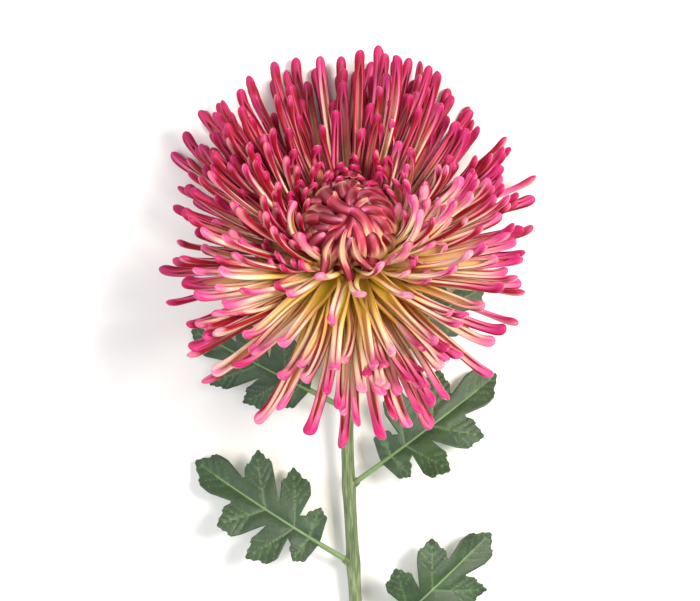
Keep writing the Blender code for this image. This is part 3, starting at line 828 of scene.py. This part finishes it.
# Bracts, grown: leathery green skin with a keel, thinning to a dry, papery, straw-coloured margin
def bractMaterial():
    made, add = newMaterial("bractSkin", Roughness=0.55, Sheen_Weight=0.1)
    _, _, offMiddle = stripPlaces(add, "bract")
    spot = add("TexCoord", output="Object")
    mottle = add("TexNoise", {"Vector": spot, "Scale": 900, "Detail": 3})
    strayed = add("Math", (mottle, 0.16, offMiddle), "MULTIPLY_ADD")
    stops = ((0.08, "#8fa65e"), (0.22, "#5d7a3a"), (0.42, "#6d8748"), (0.5, "#b9ab74"), (0.58, "#cbbd8c"))
    return dressShader(made, add("ValToRGB", [strayed], stops=stops), mottle, 0.5, 0.0002)


bractSkin = bractMaterial()
calyxCup(bractSkin)
calyxBracts(bractSkin)
print("calyx made")

# Leaves from the neck down, as in the solids: where along the stem, side, angles in degrees, blade
# length, and height of the tip
leafNames = "along", "side", "spread", "rise", "length", "roll", "tip"
leafList = (
    (0.036, -1, 60, 6, 0.046, 16, 0.004),
    (0.056, 1, 64, 8, 0.054, -18, 0.002),
    (0.088, -1, 56, 14, 0.06, -14, 0.002),
    (0.12, 1, 54, 16, 0.062, 16, 0.003),
    (0.158, -1, 50, 14, 0.058, 14, 0.002),
    (0.198, 1, 52, 12, 0.052, -12, 0.002),
)
leafList = [dict(zip(leafNames, row)) for row in leafList]

stemValues = {
    "radius": 0.0027,
    "topRadius": 0.0035,
    "topTaper": 0.008,
    "ridge": 0.13,
    "ridges": 6,
    "swelling": 0.0005,  # at a leaf
    "swellingBand": (0.001, 0.006),
    "segments": 24,
    "ringStep": 0.004,
    "bezierSteps": 16,
    "topWay": 0.022,
    "line": (  # places, and the way to their handles
        (Vector((0.001, 0.07, 0.0105)), Vector((0, 0.022, -0.0012))),
        (Vector((-0.0045, 0.19, 0.005)), Vector((-0.0006, 0.04, -0.0006))),
        (lieValues["stemEnd"], Vector((0, 0.05, -0.0002))),
    ),
    "cutRings": ((0.0005, -0.00015), (0.0004, 0.0001)),  # width and depth
    "bossLength": 0.002,
    "boss": ((0, 0.002295), (0.35, 0.00228329), (0.7, 0.00185426), (0.92, 0.0017), (1, 0.001224)),
    "bossSegments": 12,
}


def stemLine():  # points down the stem's middle, from under the calyx to the cut end
    values, whole = stemValues, bloomFrame()
    here = whole @ Vector((0, 0, calyxTop - calyxValues["depth"] - calyxValues["gap"]))
    handle = here - whole.to_3x3() @ upright * values["topWay"]
    points = [here]
    for place, way in values["line"]:
        there = shift + place
        points += interpolate_bezier(here, handle, there - way, there, values["bezierSteps"])[1:]
        here, handle = there, there + way
    return points


stemPoints = stemLine()
stemLength = sum((after - before).length for before, after in zip(stemPoints, stemPoints[1:]))


def alongStem(distance):  # the point that far down, and the way to the bloom there
    for here, following in zip(stemPoints, stemPoints[1:]):
        step = (following - here).length
        if distance <= step or following is stemPoints[-1]:
            break
        distance -= step
    run = (here - following).normalized()
    return here - run * min(distance, step), run


def stemRadius(distance):
    values = stemValues
    radius = between((values["topRadius"], values["radius"]), ease(distance, 0, values["topTaper"]))
    for leaf in leafList:
        radius += values["swelling"] * (1 - ease(abs(distance - leaf["along"]), *values["swellingBand"]))
    return radius


def leafDirections(leaf):  # the way a leaf leaves the stem, and the way its upper face looks
    point, run = alongStem(leaf["along"])
    level = Vector((run.x, run.y, 0)).normalized()
    across = Vector((level.y, -level.x, 0)) * -leaf["side"]
    spread, rise = radians(leaf["spread"]), radians(leaf["rise"])
    out = level * cos(spread) + across * sin(spread)
    out = out * cos(rise) + upright * sin(rise)
    up = squared(upright, out)
    up.rotate(Matrix.Rotation(radians(leaf["roll"]), 3, out))
    return point, out, up


def stemPiece(skin, pith):
    values, mesh = stemValues, bmesh.new()
    count = round(stemLength / values["ringStep"])
    placements = []
    for stop in [stemLength * number / count for number in range(count + 1)]:
        point, run = alongStem(stop)
        placements.append(placement(point, -run, squared(upright, run), stemRadius(stop)))
    cut = drawOut(mesh, placements, values["segments"], values["ridge"], values["ridges"])
    for width, depth in values["cutRings"]:
        ops.inset_region(mesh, faces=cut, thickness=width, depth=depth)
    for face in cut:
        face.material_index = 1
    for leaf in leafList:
        point, out, up = leafDirections(leaf)
        reach = stemRadius(leaf["along"]) + values["bossLength"]
        boss = [placement(point + out * reach * share, out, up, radius) for share, radius in values["boss"]]
        drawOut(mesh, boss, values["bossSegments"])
    addSubdivision(closedPiece(mesh, "flowerStem", [skin, pith], ["stem"], "stem"))


# Stem, grown: firm ribbed green skin with a grey bloom of fine hairs, paler on its ribs
def stemMaterial():
    made, add = newMaterial("ribbedStemSkin", Roughness=0.5, Sheen_Weight=0.25, Sheen_Roughness=0.4)
    spot = add("TexCoord", output="Object")
    drawn = add("Mapping", {"Vector": spot, "Scale": (1, 0.06, 1)})  # along the stem
    fibres = add("TexNoise", {"Vector": drawn, "Scale": 1600, "Detail": 3})
    patches = add("TexNoise", {"Vector": spot, "Scale": 60, "Detail": 2})
    calm = add("Math", (patches, 0.4), "MULTIPLY")
    both = add("Math", (fibres, 0.9, calm), "MULTIPLY_ADD")
    tone = add("ValToRGB", [both], stops=((0.46, "#44572e"), (0.66, "#63744a"), (0.86, "#8c9a72")))
    return dressShader(made, tone, fibres, 0.7, 0.00025)


# Freshly cut pith, sliced with a knife: moist, pale greenish white, spongy
pith = fleshMaterial("freshCutPith", 0.0004, "#eef0d2", "#c4cc98", 0.9, Roughness=0.45, Subsurface_Weight=0.3)
stemPiece(stemMaterial(), pith)
print("stem drawn:", round(stemLength * 1000), "mm")

# A leaf lies as its solid does. Lobes of half a blade are in shares of its length: root on the
# midrib, angle to it in degrees, length, half width, and the notch that follows.
leafValues = {
    "stalk": 0.012,
    "stalkRadius": 0.0012,
    "stalkTaper": 0.72,
    "stalkSegments": 10,
    "stalkSteps": 24,
    "stalkSunk": 0.0004,  # into the boss
    "midrib": 0.86,
    "midribDepth": 0.6,
    "gap": 0.0003,
    "clearance": 0.0008,
    "thickness": 0.0005,
    "wave": 0.0016,
    "waveWidth": 0.2,
    "waves": 9,
    "rise": 0.16,  # from the midrib
    "lobes": (
        (0.08, 78, 0.19, 0.07, 0.215),
        (0.2, 60, 0.37, 0.1, 0.385),
        (0.43, 46, 0.37, 0.105, 0.68),
        (0.6, 0, 0.4, 0.125, None),
    ),
    "lobeArc": (-95, 86, 9),
    "lobeSides": 0.62,
    "teeth": ((5, 0.055), (15, 0.022)),  # waves and size
    "foot": 0.01,
    "tip": 1.022,
    "notchDepth": 0.085,
    "ribSteps": 12,
    "grain": 0.0012,  # the mesh's longest edge
    "rounds": 5,
    "veinWidths": (0.0008, 0.00055, 0.00038),
    "midVein": (-0.02, 0.97),
    "lobeVein": 0.92,
    "sideVeins": ((0.34, 0.4), (0.52, 0.36), (0.7, 0.26), (0.86, 0.16)),  # start and length
    "veinAngle": 38,
    "veinTaper": 0.6,
    "veinCore": 0.35,
    "groove": 0.0003,
    "pucker": 0.0005,
    "puckerReach": 0.05,
}


def leafPoint(leaf, along, across, lift):
    values, length = leafValues, leaf["length"]
    point, out, up = leaf["directions"]
    start = point + out * (stemRadius(leaf["along"]) + stemValues["bossLength"] + values["gap"])
    whole = values["stalk"] + length
    sag = (start.z + out.z * whole - leaf["tip"]) / (whole * whole)
    wave = values["wave"] * sin(values["waves"] * along / length + leaf["side"])
    wave *= (across / (values["waveWidth"] * length)) ** 2
    spot = start + out * (values["stalk"] + along) + up.cross(out) * across
    spot += up * (lift + values["rise"] * abs(across) + wave)
    spot.z -= sag * (values["stalk"] + along) ** 2
    spot.z = max(spot.z, values["clearance"] + lift)
    return spot


def halfOutline(side, length):
    values = leafValues
    spots = [Vector((0, values["foot"]))]
    first, last, step = values["lobeArc"]
    for root, lean, reach, halfWidth, notch in values["lobes"]:
        out = heading(radians(lean)).xy
        on = Vector((out.y, -out.x))
        for angle in range(first, last if notch else 1, step):
            turned = radians(angle)
            tooth = 1 + sum(size * cos(waves * turned) for waves, size in values["teeth"])
            far = reach * between((values["lobeSides"], 1), cos(turned)) * tooth
            spots.append(Vector((root, 0)) + out * far + on * halfWidth * sin(turned))
        if notch:
            spots.append(Vector((notch, values["notchDepth"])))
    spots.append(Vector((values["tip"], 0)))
    return [Vector((spot.x, spot.y * side)) * length for spot in spots]


def leafVeins(length):  # each vein's ends on the flat blade, and its width
    values = leafValues
    wide, middling, fine = values["veinWidths"]
    veins = [[Vector((end, 0)) for end in values["midVein"]] + [wide]]
    for root, lean, reach, _, notch in values["lobes"]:
        for side in (-1, 1) if notch else (0,):
            angle, base = radians(lean) * side, Vector((root, 0))
            out = heading(angle, reach).xy
            if notch:
                veins.append((base, base + out * values["lobeVein"], middling))
            for share, spread in values["sideVeins"]:
                for hand in (-1, 1):
                    start = base + out * share
                    way = heading(angle + radians(values["veinAngle"]) * hand, reach * spread).xy
                    veins.append((start, start + way, fine))
    return [(start * length, end * length, width) for start, end, width in veins]


def veinShare(place, veins):  # 1 on a vein, 0 clear of it, and how far the nearest one is
    values, best, nearest = leafValues, 0, 1
    for start, end, width in veins:
        line = end - start
        share = min(max((place - start).dot(line) / line.length_squared, 0), 1)
        off = (place - start - line * share).length
        thick = width * (1 - values["veinTaper"] * share)
        on = 1 - ease(off, thick * values["veinCore"], thick)
        best = max(best, on * min(1, width / values["veinWidths"][1]))
        nearest = min(nearest, off)
    return best, nearest


def leafBlade(leaf, name, node, materials):
    values, length, mesh = leafValues, leaf["length"], bmesh.new()
    veinLayer = mesh.verts.layers.float.new("vein")
    uvLayer = mesh.loops.layers.uv.new("leaf")
    rims = [halfOutline(side, length) for side in (-1, 1)]
    steps = values["ribSteps"]
    rib = [mesh.verts.new((rims[0][-1].x * step / steps, 0, 0)) for step in range(steps + 1)]
    ribEdges = [mesh.edges.new(pair) for pair in zip(rib, rib[1:])]
    for spots in rims:
        rim = [rib[0]] + [mesh.verts.new((*spot, 0)) for spot in spots[:-1]] + [rib[-1]]
        edges = [mesh.edges.new(pair) for pair in zip(rim, rim[1:])]
        ops.triangle_fill(mesh, use_beauty=True, edges=edges + ribEdges)
    for _ in range(values["rounds"]):
        long = [edge for edge in mesh.edges if edge.calc_length() > values["grain"]]
        ops.subdivide_edges(mesh, edges=long, cuts=1)
        ops.triangulate(mesh, faces=mesh.faces)
        free = [edge for edge in mesh.edges if not edge.is_boundary and any(vert.co.y for vert in edge.verts)]
        ops.beautify_fill(mesh, faces=mesh.faces, edges=free)
    for face in mesh.faces:
        if face.normal.z < 0:
            face.normal_flip()
    setUv(mesh.verts, uvLayer, lambda vert: vert.co.xy / length)
    veins = leafVeins(length)
    for vert in mesh.verts:
        vein, off = veinShare(vert.co.xy, veins)
        bulge = values["pucker"] * ease(off, 0, values["puckerReach"] * length) - values["groove"] * vein
        vert[veinLayer] = vein
        vert.co = leafPoint(leaf, vert.co.x, vert.co.y, bulge + values["thickness"])
    addThickness(finishPiece(mesh, name, materials, [node], "leaf"), values["thickness"], 1)


def leafStalk(leaf, name, node, material):  # it runs on under the blade as its midrib
    values, mesh = leafValues, bmesh.new()
    up, reach = leaf["directions"][2], values["midrib"] * leaf["length"]
    start = -values["stalk"] - values["gap"] - stemValues["bossLength"] - values["stalkSunk"]
    placements = []
    for step in range(values["stalkSteps"] + 1):
        stop = between((start, reach), step / values["stalkSteps"])
        radius = values["stalkRadius"] * (1 - values["stalkTaper"] * max(0, stop) / reach)
        lift = values["thickness"] / 2 - radius * values["midribDepth"] * ease(stop, -values["stalk"], 0)
        before, point, after = [leafPoint(leaf, stop + off, 0, lift) for off in (-0.001, 0, 0.001)]
        run = (after - before).normalized()
        placements.append(placement(point, run, squared(up, run), radius))
    drawOut(mesh, placements, values["stalkSegments"])
    addSubdivision(closedPiece(mesh, name, [material], [node], "leaf"))


# Chrysanthemum leaf, grown: matt dark green above with sunken paler veins, grey-green and felted below
def leafMaterial(name, dark, light, veinColour, **sockets):
    made, add = newMaterial(name, Subsurface_Weight=0.1, Subsurface_Scale=0.0008, **sockets)
    spot = add("TexCoord", output="Object")
    vein = add("Attribute", output="Fac", attribute_name="vein")
    mottle = add("TexNoise", {"Vector": spot, "Scale": 90, "Detail": 4})
    cells = add("TexVoronoi", {"Vector": spot, "Scale": 420}, feature="DISTANCE_TO_EDGE")
    net = add("MapRange", (cells, 0, 0.1, 0.14, 0))
    ground = add("ValToRGB", [mottle], stops=((0.3, dark), (0.72, light)))
    lines = add("Math", (vein, net), "MAXIMUM")
    colour = add("Mix", {0: lines, 6: ground, 7: linear(veinColour)}, output=2, data_type="RGBA")
    rough = add("TexNoise", {"Vector": spot, "Scale": 2200, "Detail": 2})
    height = add("Math", (net, -1.2, rough), "MULTIPLY_ADD")
    return dressShader(made, colour, height, 0.6, 0.00025)


leafUpper = leafMaterial("leafUpperSkin", "#203820", "#38522f", "#557246", Roughness=0.48, Sheen_Weight=0.05)
leafUnder = leafMaterial("leafUnderFelt", "#6d8866", "#8aa284", "#b4c4a0", Roughness=0.7, Sheen_Weight=0.4)
stalkSkin = leafMaterial("leafStalkSkin", "#5d7a48", "#7d9862", "#9ab080", Roughness=0.5, Sheen_Weight=0.2)
for number, leaf in enumerate(leafList, 1):
    leaf["directions"] = leafDirections(leaf)
    leafBlade(leaf, f"leafBlade{number}", f"leaf_{number}", [leafUpper, leafUnder])
    leafStalk(leaf, f"leafStalk{number}", f"leaf_{number}", stalkSkin)
print("leaves laid:", len(leafList))

# Stage: a plain pale floor, soft studio light, and a camera that looks down on the flower
stageValues = {
    "floor": "#f7f6f4",
    "floorSize": 6,
    "sky": 0.56,
    "lampMiddle": 0.04,
    "lamps": (  # place from there, width, watts, colour
        ("keyLight", (-0.68, -0.2, 0.95), 0.4, 17, "#fff8ee"),
        ("fillLight", (0.6, 0.1, 0.8), 0.9, 6, "#f6f8ff"),
    ),
    "cameraHeight": 0.84,
    "frameWidth": 0.276,  # metres of table across the picture
    "aim": (0, -0.1),
}


def studio():
    values, mesh, scene = stageValues, bmesh.new(), bpy.context.scene
    ops.create_grid(mesh, x_segments=1, y_segments=1, size=values["floorSize"] / 2)
    data = bpy.data.meshes.new("studioFloor")
    mesh.to_mesh(data)
    mesh.free()
    paper, _ = newMaterial("mattPaperFloor", Roughness=0.85, Base_Color=linear(values["floor"]))
    data.materials.append(paper)
    linkObject("studioFloor", data)

    scene.world = bpy.data.worlds.new("studioSky")
    scene.world.use_nodes = True
    sky = scene.world.node_tree.nodes["Background"]
    sky.inputs["Color"].default_value = linear("#ffffff")
    sky.inputs["Strength"].default_value = values["sky"]

    for name, place, width, power, colour in values["lamps"]:
        lamp = bpy.data.lights.new(name, "AREA")
        lamp.size = width
        lamp.energy = power
        lamp.color = linear(colour)[:3]
        made = linkObject(name, lamp)
        made.location = Vector((*values["aim"], values["lampMiddle"])) + Vector(place)
        made.rotation_euler = (-Vector(place)).to_track_quat("-Z", "Y").to_euler()

    lens = bpy.data.cameras.new("camera")
    lens.lens = lens.sensor_width * (values["cameraHeight"] - lieValues["height"]) / values["frameWidth"]
    lens.clip_start = 0.01
    made = linkObject("camera", lens)
    made.location = (*values["aim"], values["cameraHeight"])
    made.rotation_euler = (0, 0, pi)  # straight down, with the flower's head at the top
    scene.camera = made
    scene.view_settings.view_transform = "Standard"


studio()
